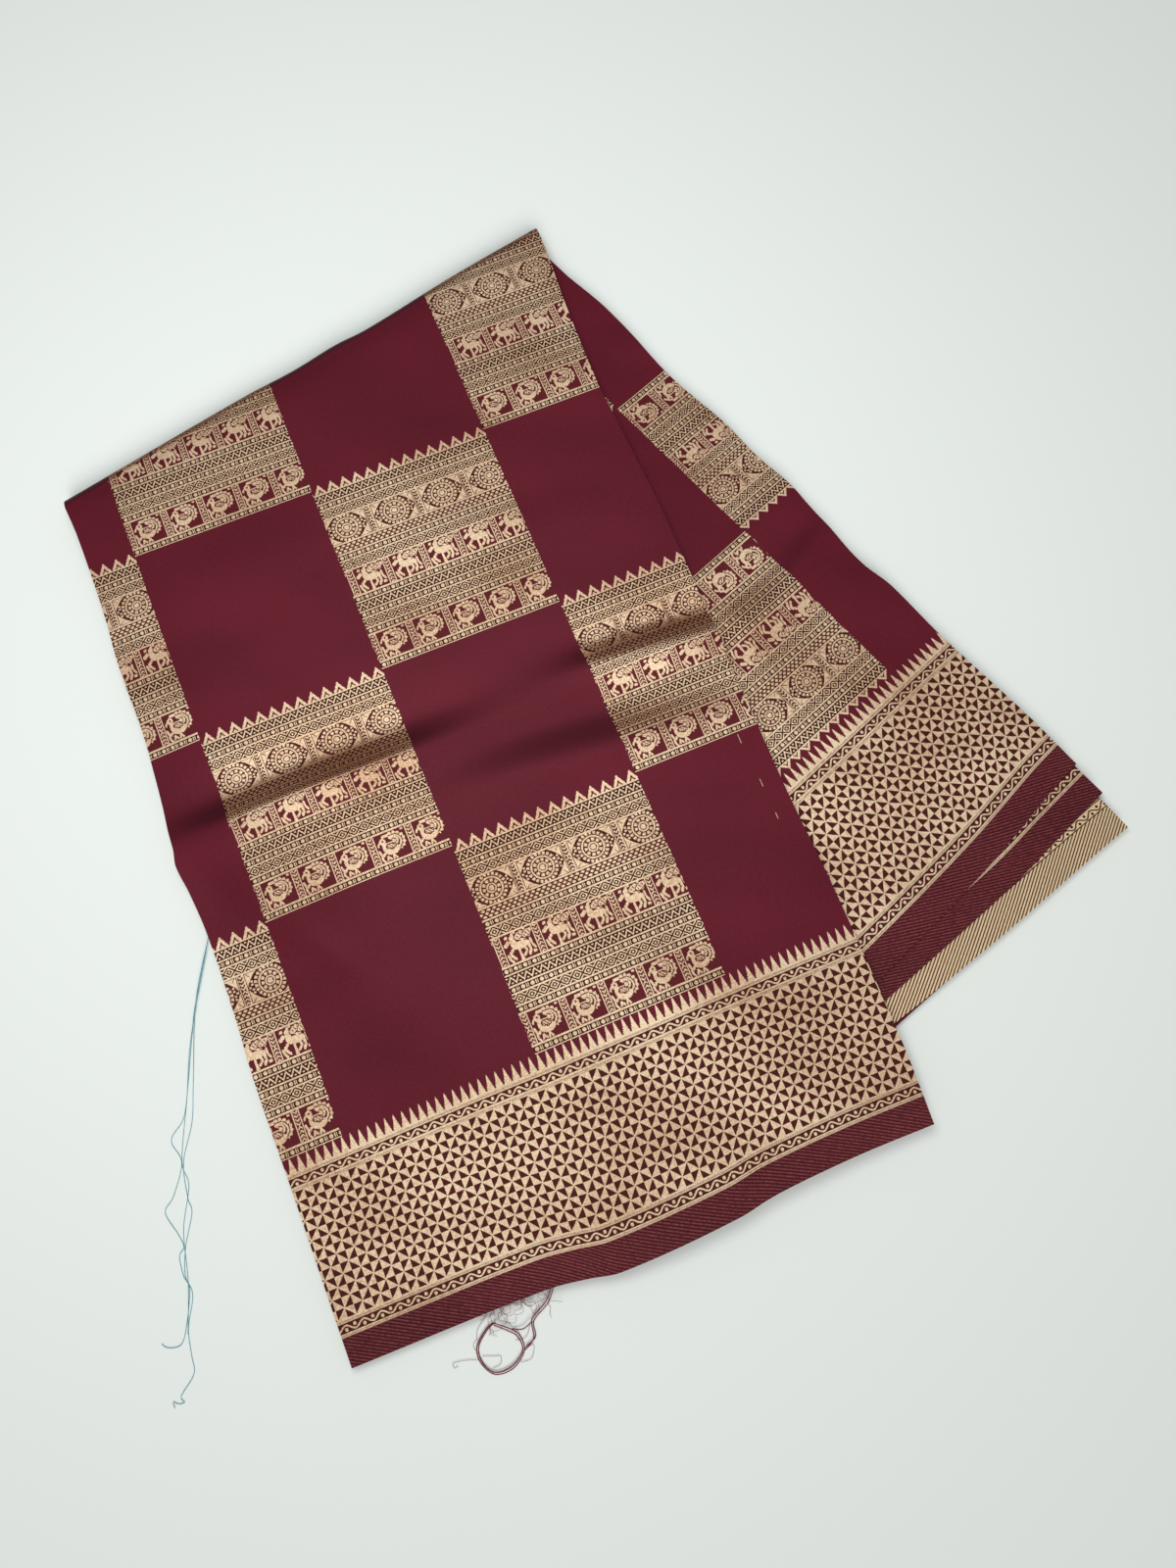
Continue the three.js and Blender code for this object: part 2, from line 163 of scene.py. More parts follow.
# Loose threads on the table beside the cloth, as places in the part's frame
TEAL_THREADS = (
    ((-219, -126), (-224, -165), (-225, -181), (-225, -211), (-226, -230), (-232, -242), (-225, -254),
     (-228, -272), (-232, -281), (-224, -292), (-220, -299), (-222, -304), (-219, -314), (-215, -321),
     (-215, -338), (-217, -349), (-224, -351), (-228, -349)),
    ((-219, -126), (-224, -165), (-222, -211), (-221, -232), (-224, -254), (-220, -273), (-217, -281),
     (-219, -299), (-218, -314), (-213, -324), (-214, -341), (-211, -355), (-209, -364), (-215, -375),
     (-213, -378), (-216, -379), (-219, -378), (-218, -381)),
    ((-219, -126), (-225, -184), (-225, -219), (-225, -253), (-220, -266), (-221, -286), (-220, -297),
     (-216, -318), (-214, -344)),
)
TANGLE_STRANDS = (
    ((-13, -314), (-17, -326), (-25, -336), (-24, -346), (-29, -352)),
    ((-12, -315), (-16, -327), (-24, -337), (-23, -345), (-28, -350)),
    ((-25, -337), (-30, -341), (-36, -341)),
    ((-46, -338), (-37, -341), (-32, -344), (-29, -352), (-35, -361), (-45, -364), (-53, -358),
     (-55, -350), (-50, -341), (-46, -338)),
    ((-46, -339), (-38, -342), (-33, -345), (-30, -352), (-36, -360), (-45, -363), (-52, -358),
     (-54, -350), (-49, -341), (-45, -338)),
)
TANGLE_ENDS = (
    ((-54, -357), (-60, -357), (-66, -358), (-68, -359), (-67, -361), (-65, -360)),
    ((-52, -355), (-46, -355), (-42, -355), (-42, -359), (-46, -361)),
    ((-55, -347), (-55, -342), (-51, -336), (-46, -333)),
    ((-29, -352), (-24, -349), (-25, -356), (-31, -358)),
    ((-26, -338), (-28, -345), (-34, -347)),
    ((-45, -364), (-50, -360), (-54, -354), (-57, -350), (-55, -346)),
)
STRAND_SIDES = 5
STRAND_STEPS = 6
# Loose ends of the weave on the front: s, t and the length along t
FLOAT_STITCHES = ((334, 247, 6), (335.5, 217, 5), (336, 195, 4), (333, 262, 3))


def smooth(value):
    """Eases 0 to 1: three times the square less twice the cube, held at the ends."""
    x = np.clip(value, 0, 1)
    return x * x * (3 - 2 * x)


def shift_at(table, place):
    """Reads an edge's table at a place: a cubic between rows whose slope at each row is that of the
    line through the rows beside it."""
    places, shifts = np.array(table, dtype=float).T
    before = np.maximum(np.arange(len(places)) - 1, 0)
    after = np.minimum(np.arange(len(places)) + 1, len(places) - 1)
    slopes = (shifts[after] - shifts[before]) / (places[after] - places[before])
    place = np.clip(place, places[0], places[-1])
    end = np.clip(np.searchsorted(places, place), 1, len(places) - 1)
    start = end - 1
    run = places[end] - places[start]
    x = (place - places[start]) / run
    bend = run * x * (1 - x) * ((1 - x) * slopes[start] - x * slopes[end])
    return shifts[start] + (shifts[end] - shifts[start]) * smooth(x) + bend


def lerp(low, high, part):
    return low + (high - low) * part


def turned(x, y, turn):
    """How far a place lies along and across a direction at an angle to x."""
    return x * cos(turn) + y * sin(turn), y * cos(turn) - x * sin(turn)


def to_part(half, along, up, z):
    """Turns places in one half's flat frame, and heights, into points of the part."""
    corner, turn, side = half
    x = corner[0] + side * along * cos(turn) - up * sin(turn)
    y = corner[1] + side * along * sin(turn) + up * cos(turn)
    return np.stack([x, y, z + 0 * x], axis=-1)


def from_part(half, point):
    """The way back: where points of the part lie in one half's flat frame."""
    corner, turn, side = half
    along, up = turned(point[..., 0] - corner[0], point[..., 1] - corner[1], turn)
    return side * along, up


def hem_at(hem, l):
    return shift_at(hem[0], l)


def nose_start(s):
    return FOLD_START + FOLD_SLOPE * s - NOSE_REACH


def back_end(l):
    """Where a line of the back half meets the fold: both sides are linear in e, so one division."""
    s0, t0 = from_part(FRONT, to_part(BACK, l, 0 * l, 0))
    s1, t1 = from_part(FRONT, to_part(BACK, l, 0 * l + 1, 0))
    missing = nose_start(s0) - GAP - t0
    return missing / ((t1 - t0) - FOLD_SLOPE * (s1 - s0))


def support_height(s, t):
    """Height under the front half: the back half's top, a soft step down past its edge, the table."""
    l, e = from_part(BACK, to_part(FRONT, s, t, 0))
    beside = np.maximum(np.maximum(-l, l - STRIP_WIDTH), 0)
    below = np.maximum(hem_at(LOWEST_HEM, l) - e, 0)
    away = np.hypot(beside, below)
    return FRONT_FLOOR * (1 - smooth((away - STEP_START) / STEP_RUN))


def relief(waves, along, across):
    """Sum of soft waves, each a rise that falls off as a bell along and across a short line."""
    total = 0
    for place, over, turn, reach, spread, rise in waves:
        lengthwise, crosswise = turned(along - place, across - over, radians(turn))
        total = total + rise * np.exp(-(lengthwise / reach) ** 2 - (crosswise / spread) ** 2)
    return total


def back_relief(l, e):
    """The back half's waves, which fade out where the front half lies on it."""
    s, _ = from_part(FRONT, to_part(BACK, l, e, 0))
    shown = smooth((s - STRIP_WIDTH - 2 * LAYER_INSET) / WAVE_FADE)
    return shown * np.maximum(relief(BACK_WAVES, l, e), 0)


def front_top(s, t):
    return support_height(s, t) + FRONT_STACK + relief(FRONT_WAVES + FINE_WAVES, s, t)


def front_plan(u, v, inset):
    """Spreads u and v from 0 to 1 over the front half's outline, set in by inset."""
    rough_t = v * nose_start(u * STRIP_WIDTH)
    left = shift_at(LEFT_EDGE, rough_t) + inset
    right = STRIP_WIDTH + shift_at(RIGHT_EDGE, rough_t) - inset
    s = lerp(left, right, u)
    t = lerp(shift_at(FRONT_HEM, s) + inset, nose_start(s), v)
    return s, t


def nose_point(s, t, top, inset, angle):
    """Half an ellipse from the top of the cloth down to the table, set in from the outside."""
    reach = (NOSE_REACH + shift_at(FOLD_EDGE, s) - inset) * np.cos(angle)
    return to_part(FRONT, s, t + reach, top / 2 + (top / 2 - inset) * np.sin(angle))


def layer_out(w, count, along):
    """How far a layer stands out of a stack's edge: round bulges and two slow wanders."""
    bulge = LAYER_BULGE * np.abs(np.sin(pi * count * w))
    slow = np.sin(along / WANDER_LENGTH + 5 * w)
    quick = np.sin(along / SHORT_WANDER_LENGTH - 9 * w)
    return bulge + LAYER_WANDER * (slow + 0.6 * quick)


def front_cloth_place(s, t):
    """Places on the cloth for the front frame: the hem is 0 and the rows follow their table."""
    hem = shift_at(FRONT_HEM, s)
    drift = ROW_DRIFT * (s - FIRST_COLUMN)
    places, lengths = np.array(ROW_TABLE, dtype=float).T
    above = np.interp(t - drift, places, lengths)
    below = FIRST_ROW * (t - hem) / (FIRST_ROW + drift - hem)
    along = s + COLUMN_DRIFT * (t - FIRST_ROW)
    return along, np.where(t - drift > FIRST_ROW, above, below)


def back_cloth_place(l, e, hem):
    """Places on the cloth for a back layer, one check further along than the front half. The border's
    depth takes up the bend of the hem, and the rows of checks run straight."""
    places, lengths = np.array(ROW_TABLE, dtype=float).T
    bottom = hem_at(hem, l)
    level = bottom if hem is not FIRST_HEM else 0 * l
    border = FIRST_ROW * (e - bottom) / (FIRST_ROW + level - bottom)
    up = np.where(e - level > FIRST_ROW, np.interp(e - level, places, lengths), border)
    return l + FIRST_COLUMN - BACK_COLUMN + CHECK_WIDTH, up


def front_panel_surface(u, v, w):
    """The top layer of the front half: flat to v = 1, then round the fold's nose to v = 2."""
    s, t = front_plan(u, np.minimum(v, 1), 0)
    inner = (1 - w) * CLOTH
    top = front_top(s, t) + GAP + CLOTH
    angle = pi * (1.5 - v)
    flat = to_part(FRONT, s, t, top - inner)
    nose = nose_point(s, t, top, inner, np.minimum(angle, pi / 2))
    points = np.where((v <= 1)[..., None], flat, nose)
    along, up = front_cloth_place(s, t)
    up = up + np.maximum(v - 1, 0) * pi * (NOSE_REACH + top / 2) / 2
    return points, np.stack([along, up], axis=-1)


def front_layers_surface(u, v, w):
    """The front half's hidden layers as one body, layered at its edges; v = 2 fills the fold."""
    s, t = front_plan(u, np.minimum(v, 1), LAYER_INSET)
    side = (u == 1) * 1.0 - (u == 0) * 1.0
    out_s = s + side * layer_out(w, FRONT_LAYER_COUNT, t)
    hem_out = (v == 0) * layer_out(w, FRONT_LAYER_COUNT, s)
    height = lerp(support_height(s, t), front_top(s, t), w)
    lead = (v == 1) * NOSE_LEAD * w
    flat = to_part(FRONT, out_s, t - hem_out - lead, height)
    top = front_top(s, t) + GAP + CLOTH
    nose = nose_point(out_s, t, top, CLOTH + GAP, pi * (w - 0.5))
    points = np.where((v <= 1)[..., None], flat, nose)
    return points, np.stack([s + t, w * FRONT_STACK], axis=-1)


def back_panel_surface(u, v, w):
    """The top layer of the back half, from its hem to the fold."""
    right = shift_at(BACK_EDGE, v * back_end(np.zeros(1)))
    l = lerp(STRIP_WIDTH, FIRST_HEM[1] + right, u)
    e = lerp(hem_at(FIRST_HEM, l), back_end(l), v)
    roof = FIRST_FLOOR + CLOTH + back_relief(l, e)
    points = to_part(BACK, l, e, np.where(w == 0, FIRST_FLOOR, roof))
    return points, np.stack(back_cloth_place(l, e, FIRST_HEM), axis=-1)


def back_strip_surface(hem, floor):
    """A layer that shows below the back hem, from its own hem to a line under the one above."""

    def place(u, v, w):
        right = lerp(hem[1], shift_at(BACK_EDGE, STRIP_END) + LAYER_INSET, v)
        l = lerp(STRIP_WIDTH - LAYER_INSET, right, u)
        e = lerp(hem_at(hem, l), STRIP_END, v)
        return to_part(BACK, l, e, floor + w * CLOTH), np.stack(back_cloth_place(l, e, hem), axis=-1)

    return place


def back_layers_surface(u, v, w):
    """The back half's hidden layers as one body: low under the strips to v = 1, higher past them."""
    side = (u == 1) * 1.0 - (u == 0) * 1.0
    rough_e = np.where(v <= 1, v * STRIP_END, lerp(STRIP_END, back_end(np.zeros(1)), v - 1))
    right = np.maximum(shift_at(BACK_EDGE, rough_e) + LAYER_INSET, LOWEST_HEM[1] * (1 - v))
    l = lerp(STRIP_WIDTH - 2 * LAYER_INSET, right, u)
    below = lerp(hem_at(LOWEST_HEM, l), STRIP_END + GAP, np.minimum(v, 1))
    past = lerp(STRIP_END + STEP_UP, back_end(l), (v - 1.05) / 0.95)
    e = np.where(v <= 1, below, past)
    roof = np.where(v <= 1, BACK_STACK, FIRST_FLOOR - GAP)
    side_out = side * layer_out(w, BACK_LAYER_COUNT, e)
    hem_out = (v == 0) * layer_out(w, BACK_LAYER_COUNT, l)
    return to_part(BACK, l - side_out, e - hem_out, w * roof), np.stack([l + e, w * roof], axis=-1)


def even(count):
    return np.linspace(0, 1, count + 1)


def add_object(name, data):
    """Puts a mesh, a light or a camera into the scene."""
    thing = bpy.data.objects.new(name, data)
    bpy.context.collection.objects.link(thing)
    return thing


def warped_box(name, rows, place):
    """A closed body from a box of nodes. place(u, v, w) gives the points and cloth places of its six
    faces, with u to the right, v towards the fold and w up."""
    us, vs, ws = rows
    grid = np.meshgrid(us, vs, ws, indexing="ij")
    points, cloth = place(*grid)
    size = grid[0].shape
    number = np.arange(grid[0].size).reshape(size)

    def quads(face, flip):
        corners = [face[:-1, :-1], face[1:, :-1], face[1:, 1:], face[:-1, 1:]]
        if flip:
            corners.reverse()
        return np.stack(corners, axis=-1).reshape(-1, 4)

    ends = ((2, 0, True), (2, -1, False), (1, 0, False), (1, -1, True), (0, 0, True), (0, -1, False))
    faces = np.concatenate([quads(number.take(end, axis), flip) for axis, end, flip in ends])
    used, index = np.unique(faces, return_inverse=True)
    index = index.reshape(faces.shape)
    spots = points.reshape(-1, 3)[used] * MM
    weave = cloth.reshape(-1, 2)[used] * MM
    mesh = bpy.data.meshes.new(name)
    mesh.from_pydata(spots, [], index)
    layer = mesh.uv_layers.new(name="Cloth")
    layer.data.foreach_set("uv", weave[index.ravel()].ravel())
    mesh.shade_smooth()
    mesh.set_sharp_from_angle(angle=SHARP_ANGLE)
    mesh.validate()
    return add_object(name, mesh)


def strands_mesh(name, strands, radius):
    """Thin round strands, each a tube along a cubic curve through its spots: a spot between two
    others has the slope of the line through them."""
    spots = []
    faces = []
    angles = 2 * pi * np.arange(STRAND_SIDES)[:, None] / STRAND_SIDES
    for strand in strands:
        knots = np.array(strand, dtype=float)
        padded = np.concatenate([knots[:1], knots, knots[-1:]])
        slopes = (padded[2:] - padded[:-2]) / 2
        x = np.linspace(0, 1, STRAND_STEPS, endpoint=False)[None, :, None]
        bend = x * (1 - x) * ((1 - x) * slopes[:-1, None] - x * slopes[1:, None])
        line = lerp(knots[:-1, None], knots[1:, None], smooth(x)) + bend
        line = np.concatenate([line.reshape(-1, 3), knots[-1:]])
        way = np.gradient(line, axis=0)
        way[:, 2] = 0
        way /= np.maximum(np.linalg.norm(way, axis=1, keepdims=True), 1e-6)
        beside = np.stack([-way[:, 1], way[:, 0], 0 * way[:, 0]], axis=1)
        rings = line[:, None] + radius * (beside[:, None] * np.cos(angles) + (0, 0, 1) * np.sin(angles))
        here = len(spots) + np.arange(len(line) * STRAND_SIDES).reshape(-1, STRAND_SIDES)
        past = np.roll(here, -1, axis=1)
        spots.extend(rings.reshape(-1, 3) * MM)
        faces.extend(np.stack([here[:-1], past[:-1], past[1:], here[1:]], axis=-1).reshape(-1, 4))
        faces += [here[0, ::-1], here[-1]]
    mesh = bpy.data.meshes.new(name)
    mesh.from_pydata(spots, [], faces)
    mesh.shade_smooth()
    return add_object(name, mesh)


def on_table(route, height, start=None):
    """Lays a route of places on the table; its first spot can be higher, on the cloth's edge."""
    heights = [height] * len(route)
    if start is not None:
        heights[0] = start
        heights[1] = (start + height) / 2
    return [(x, y, z) for (x, y), z in zip(route, heights)]


def fluff(count, seed):
    """Fine curly ends between the hem and the thick strand of the tangle, by a seeded walk."""
    dice = np.random.default_rng(seed)
    strands = []
    for _ in range(count):
        start = np.array((lerp(-50, -18, dice.random()), 0.0))
        start[1] = -333.5 + 0.4 * (start[0] + 50)
        heading = radians(dice.uniform(200, 330))
        route = [(*start, dice.uniform(1, 3))]
        for _ in range(dice.integers(5, 9)):
            heading += dice.uniform(-1.3, 1.3)
            start = start + dice.uniform(1.6, 3.2) * np.array((cos(heading), sin(heading)))
            start[1] = max(start[1], -348)
            route.append((*start, dice.uniform(0.4, 1.6)))
        strands.append(route)
    return strands


def linear(red, green, blue):
    """Turns a colour as seen on a screen, 0 to 255, into the linear values that shaders use."""
    def one(value):
        part = value / 255
        return part / 12.92 if part <= 0.04045 else ((part + 0.055) / 1.055) ** 2.4
    return one(red), one(green), one(blue)


# Charts of the weave. Each function says where gold shows, at places x and y in millimetres from the
# lower left corner of one repeat of its band.
LINE = 0.5
BEAD = (5.8, 4.65)
DIAMOND = (7.0, 6.9)
ZIGZAG = (4.85, 6.6)
LATTICE = (3.5, 7.0)
TEETH = (8.43, 7.8)
HATCH = (4.2, 2.2)
WAVE = (10.3, 4.9)
PINWHEEL = (10.4, 11.22)
SPIRE = (5.2, 9.3)
PEACOCK = (24.0, 19.6)
HORSE = (24.0, 18.6)
WHEEL = (32.3, 19.5)
PILLAR = 4.6


def edges(y, height):
    """Thin lines along both edges of a band."""
    return (y < LINE) | (y > height - LINE)


def oval(x, y, middle, half, turn=0.0):
    """Inside an ellipse with the given middle and half sizes, turned by some degrees."""
    along, across = turned(x - middle[0], y - middle[1], radians(turn))
    return (along / half[0]) ** 2 + (across / half[1]) ** 2 < 1


def stroke(x, y, spots, width):
    """Near a bent line through the given spots: the distance to each of its stretches."""
    near = np.zeros(x.shape, dtype=bool)
    for (ax, ay), (bx, by) in zip(spots[:-1], spots[1:]):
        length = (bx - ax) ** 2 + (by - ay) ** 2
        part = np.clip(((x - ax) * (bx - ax) + (y - ay) * (by - ay)) / length, 0, 1)
        near |= np.hypot(x - ax - part * (bx - ax), y - ay - part * (by - ay)) < width / 2
    return near


def pillar(x, y, height, start):
    """Two thin uprights with chevrons between them that turn over halfway up."""
    across = np.abs(x - start - PILLAR / 2)
    inside = across < PILLAR / 2
    upright = across > PILLAR / 2 - 0.7
    from_middle = np.abs(y - height / 2)
    chevron = np.mod((from_middle - 0.9 * across) / 2.3, 1) < 0.45
    return inside & (upright | (chevron & (across < PILLAR / 2 - 1.0)))


def in_cell(x, y, size, gold):
    """Keeps a figure off the pillars beside its cell, and adds the pillar on its left and the lines."""
    width, height = size
    inside = (x > 0.4) & (x < width - PILLAR - 0.4)
    return edges(y, height) | (gold & inside) | pillar(x, y, height, -PILLAR)


def bead_chart(x, y):
    width, height = BEAD
    middle = height / 2
    bars = (np.abs(x - 3.75) < 0.25) | (np.abs(x - 4.85) < 0.25)
    return edges(y, height) | oval(x, y, (1.5, middle), (1.2, 1.2)) | (bars & (np.abs(y - middle) < 1.2))


def diamond_chart(x, y):
    width, height = DIAMOND
    out = np.abs(x - width / 2) / (width / 2) + np.abs(y - height / 2) / (height / 2 - 0.4)
    return edges(y, height) | (out < 0.24) | ((out > 0.56) & (out < 0.82)) | ((out > 1.2) & (out < 1.48))


def zigzag_chart(x, y):
    width, height = ZIGZAG
    middle = height / 2
    line = middle + 1.9 * (1 - 4 * np.abs(x / width - 0.5))
    upper = oval(x, y, (0, middle + 1.7), (0.6, 0.55)) | oval(x, y, (width, middle + 1.7), (0.6, 0.55))
    lower = oval(x, y, (width / 2, middle - 1.7), (0.6, 0.55))
    return edges(y, height) | (np.abs(y - line) < 0.72) | upper | lower


def lattice_chart(x, y):
    width, height = LATTICE
    gold = edges(y, height)
    for row in range(-1, 2):
        centre = width / 2 * (row % 2)
        beside = np.abs(np.mod(x - centre + width / 2, width) - width / 2)
        gold |= beside / 1.4 + np.abs(y - height / 2 - 1.8 * row) / 0.95 < 1
    return gold


def teeth_chart(x, y):
    width, height = TEETH
    out = np.abs(x - width / 2) / (width / 2) + (y - 0.3) / (height - 0.5)
    return (y < LINE) | ((out > 0.52) & (out < 1.0)) | (out < 0.3)


def hatch_chart(x, y):
    width, height = HATCH
    return edges(y, height) | (np.mod((x + y) / (width / 4), 1) < 0.66)


def wave_chart(x, y):
    width, height = WAVE
    middle = height / 2
    angle = 2 * pi * x / width
    line = middle + 1.4 * np.sin(angle)
    slope = 1.4 * 2 * pi / width * np.cos(angle)
    gold = np.abs(y - line) / np.hypot(1, slope) < 0.42
    gold |= oval(x, y, (width / 4, middle - 0.85), (0.95, 0.9))
    return gold | oval(x, y, (3 * width / 4, middle + 0.85), (0.95, 0.9))


def pinwheel_chart(x, y):
    """Squares cut by their diagonals, which meet at nodes, with the dark halves turning round them."""
    i = np.floor(2 * x / PINWHEEL[0])
    j = np.floor(2 * y / PINWHEEL[1])
    a = 2 * x / PINWHEEL[0] - i
    b = 2 * y / PINWHEEL[1] - j
    rising = b - a
    falling = a + b - 1
    line = 0.04
    lower = np.where(i == 0, rising > line, falling < -line)
    upper = np.where(i == 0, falling > line, rising < -line)
    return ~np.where(j == 0, lower, upper)


def spire_chart(x, y):
    width, height = SPIRE
    step = np.floor(y / 1.15) * 1.15 + 0.4
    half = 2.3 * np.clip(1 - step / height, 0, 1) ** 0.9 * (1 - 0.22 * (np.mod(y, 1.15) > 0.75))
    return (np.abs(x - width / 2) < half) | ((np.abs(x - width / 2) < 0.3) & (y < height - 0.4)) | (y < 0.5)


def peacock_chart(x, y):
    """A peacock that faces left, its tail curled up behind it, beside a pillar."""
    x = x - PILLAR - 0.1
    gold = (np.hypot(x - 8.7, y - 9.6) < 5.5) & (y < 12.4)
    gold |= stroke(x, y, ((4.7, 13.4), (4.9, 10.2)), 2.6)
    gold &= ~oval(x, y, (8.6, 9.7), (3.3, 2.1), -8)
    wing = oval(x, y, (8.6, 9.7), (2.6, 1.4), -8)
    gold |= wing & (np.mod((x + 0.9 * y) / 1.9, 1) > 0.33)
    dx = x - 11.0
    dy = y - 11.5
    out = np.hypot(dx, dy)
    turn = np.degrees(np.arctan2(dy, dx))
    fan = (turn < 128) & (turn > -62)
    gold &= ~(fan & (out < 7.4))
    scallop = 7.2 - 0.9 * np.abs(np.mod(turn / 23.5 + 0.2, 1) - 0.5) * 2
    gap = np.abs(np.mod(turn / 23.5 + 0.7, 1) - 0.5) < 0.09
    gold |= fan & (out > 5.3) & (out < scallop) & ~gap
    gold |= fan & (out > 3.6) & (out < 4.7)
    curl = np.hypot(x - 11.0, y - 12.2)
    gold |= fan & (curl < 2.9) & ~((curl > 1.2) & (curl < 1.8))
    gold |= oval(x, y, (4.4, 13.9), (2.0, 1.9)) | stroke(x, y, ((3.2, 14.0), (1.9, 13.1), (1.2, 11.8)), 1.2)
    gold &= ~oval(x, y, (4.4, 14.1), (0.55, 0.55))
    gold |= oval(x, y, (6.6, 16.9), (2.1, 0.95), 8) | oval(x, y, (17.6, 17.8), (0.9, 0.8))
    gold |= stroke(x, y, ((4.0, 1.6), (4.7, 4.0), (6.1, 1.7)), 1.2)
    gold |= stroke(x, y, ((7.6, 1.5), (8.3, 3.8), (9.6, 1.5)), 1.2)
    gold |= stroke(x, y, ((0.9, 8.4), (1.6, 5.4), (1.1, 3.2), (2.4, 0.9)), 1.3)
    gold |= oval(x, y, (3.0, 5.6), (0.7, 1.3), -25)
    return in_cell(x, y, PEACOCK, gold)


def horse_chart(x, y):
    """A prancing horse that faces left, leafy plumes above its back, beside a pillar."""
    x = x - PILLAR - 0.1
    gold = oval(x, y, (10.6, 9.3), (5.4, 2.3)) | stroke(x, y, ((6.5, 14.4), (6.8, 10.2)), 3.5)
    gold |= stroke(x, y, ((1.8, 11.6), (4.6, 13.6)), 2.3) | oval(x, y, (3.3, 16.0), (1.3, 0.8), 35)
    gold |= stroke(x, y, ((6.4, 14.8), (7.5, 17.0)), 1.5)
    gold &= ~oval(x, y, (4.6, 14.0), (0.55, 0.5))
    gold |= stroke(x, y, ((5.0, 8.0), (3.1, 6.6), (3.3, 4.8), (5.0, 2.6)), 1.5)
    gold |= stroke(x, y, ((8.6, 7.4), (8.8, 1.6)), 1.5) | oval(x, y, (8.8, 1.3), (1.2, 0.6))
    gold |= stroke(x, y, ((12.2, 7.4), (12.7, 5.2), (10.6, 2.8)), 1.5)
    gold |= stroke(x, y, ((14.8, 8.0), (15.0, 4.8), (13.6, 2.5)), 1.6)
    gold &= ~stroke(x, y, ((15.7, 11.2), (15.9, 7.6)), 0.5)
    gold |= stroke(x, y, ((16.7, 10.8), (16.8, 7.4), (17.9, 5.2)), 1.3) | oval(x, y, (17.0, 3.2), (1.2, 1.1))
    gold |= stroke(x, y, ((1.2, 5.9), (1.8, 3.4), (2.8, 1.4)), 1.4)
    gold |= stroke(x, y, ((9.4, 12.4), (13.4, 12.1), (17.2, 12.9)), 0.7)
    for middle in ((11.2, 15.1), (16.0, 14.9)):
        stripes = np.mod((x + 0.5 * (y - middle[1])) / 1.9, 1) < 0.34
        inner = oval(x, y, middle, (2.5, 1.0), 28)
        gold &= ~oval(x, y, middle, (3.9, 2.2), 28)
        gold |= oval(x, y, middle, (3.3, 1.65), 28) & ~(stripes & inner)
    gold |= oval(x, y, (15.2, 17.6), (0.9, 0.6)) | oval(x, y, (8.9, 17.4), (0.8, 0.6))
    return in_cell(x, y, HORSE, gold)


def wheel_chart(x, y):
    """The upper half of a wheel in an eye of arcs, with leaves in the corners, beside a pillar.
    y runs from the middle of the row to its upper edge."""
    height = WHEEL[1] / 2
    cell = WHEEL[0] - PILLAR
    dx = x - cell / 2
    out = np.hypot(dx, y)
    turn = np.arctan2(y, dx)
    gold = (out < 1.6) | ((out > 2.2) & (out < 3.1))
    petals = np.abs(np.mod(turn / (pi / 5) + 0.5, 1) - 0.5) < 0.31
    gold |= (out > 3.7) & (out < 5.5) & petals
    gold |= (out > 6.1) & (out < 7.1)
    dots = np.abs(np.mod(turn / (pi / 11) + 0.5, 1) - 0.5) < 0.31
    gold |= (out > 7.7) & (out < 9.5) & dots
    for centre in ((10.7, 1.5), (10.5, 3.4), (12.2, 0.0)):
        gold |= oval(np.abs(dx), y, centre, (0.75, 0.65))
    lens = (height + 0.6) * np.cos(np.clip(np.abs(dx) / 13.4, 0, 1) * pi / 2) ** 0.75
    leaf = (y > lens + 0.5) & (np.abs(dx) < 13.3) & (y < height - 0.9)
    vein = (np.abs(y - 5.8 - (np.abs(dx) - 10.2) * 1.1) < 0.35) & (np.abs(dx) > 10.6)
    gold |= leaf & ~vein
    gold |= y > height - LINE
    return gold | pillar(x, y + height, WHEEL[1], cell)


# A kind of band: the size of its repeat, its chart with the columns and rows that it is drawn in, the
# sheet of bits that holds it with its first row and column there, its ground, the shift of its repeat
# along the cloth, and whether its lower half mirrors the upper one
Band = namedtuple("Band", "size chart columns rows sheet row column ground phase mirror", defaults=(0, False))

SHEET_ROWS = 32
BITS = 24
SHEETS = 6
KINDS = 16
MOST_COLUMNS = 96
# A bit is set where what is left of its number is a half or more, less what rounding takes off
BIT_SET = 0.49999
MAROON_GROUND = linear(93, 24, 38)
BROWN_GROUND = linear(56, 20, 11)
WARM_GROUND = linear(74, 24, 20)
CELL_GROUND = linear(90, 27, 33)
TAN_GROUND = linear(62, 26, 14)
SELVEDGE_GROUND = linear(58, 15, 23)
SELVEDGE_PINK = linear(150, 80, 78)
# Painted shade: the ground and the gold where the cloth leans down towards the fold
LEAN_SHADE_GROUND = linear(44, 10, 16)
LEAN_SHADE_GOLD = linear(146, 84, 50)
SELVEDGE = 15.6

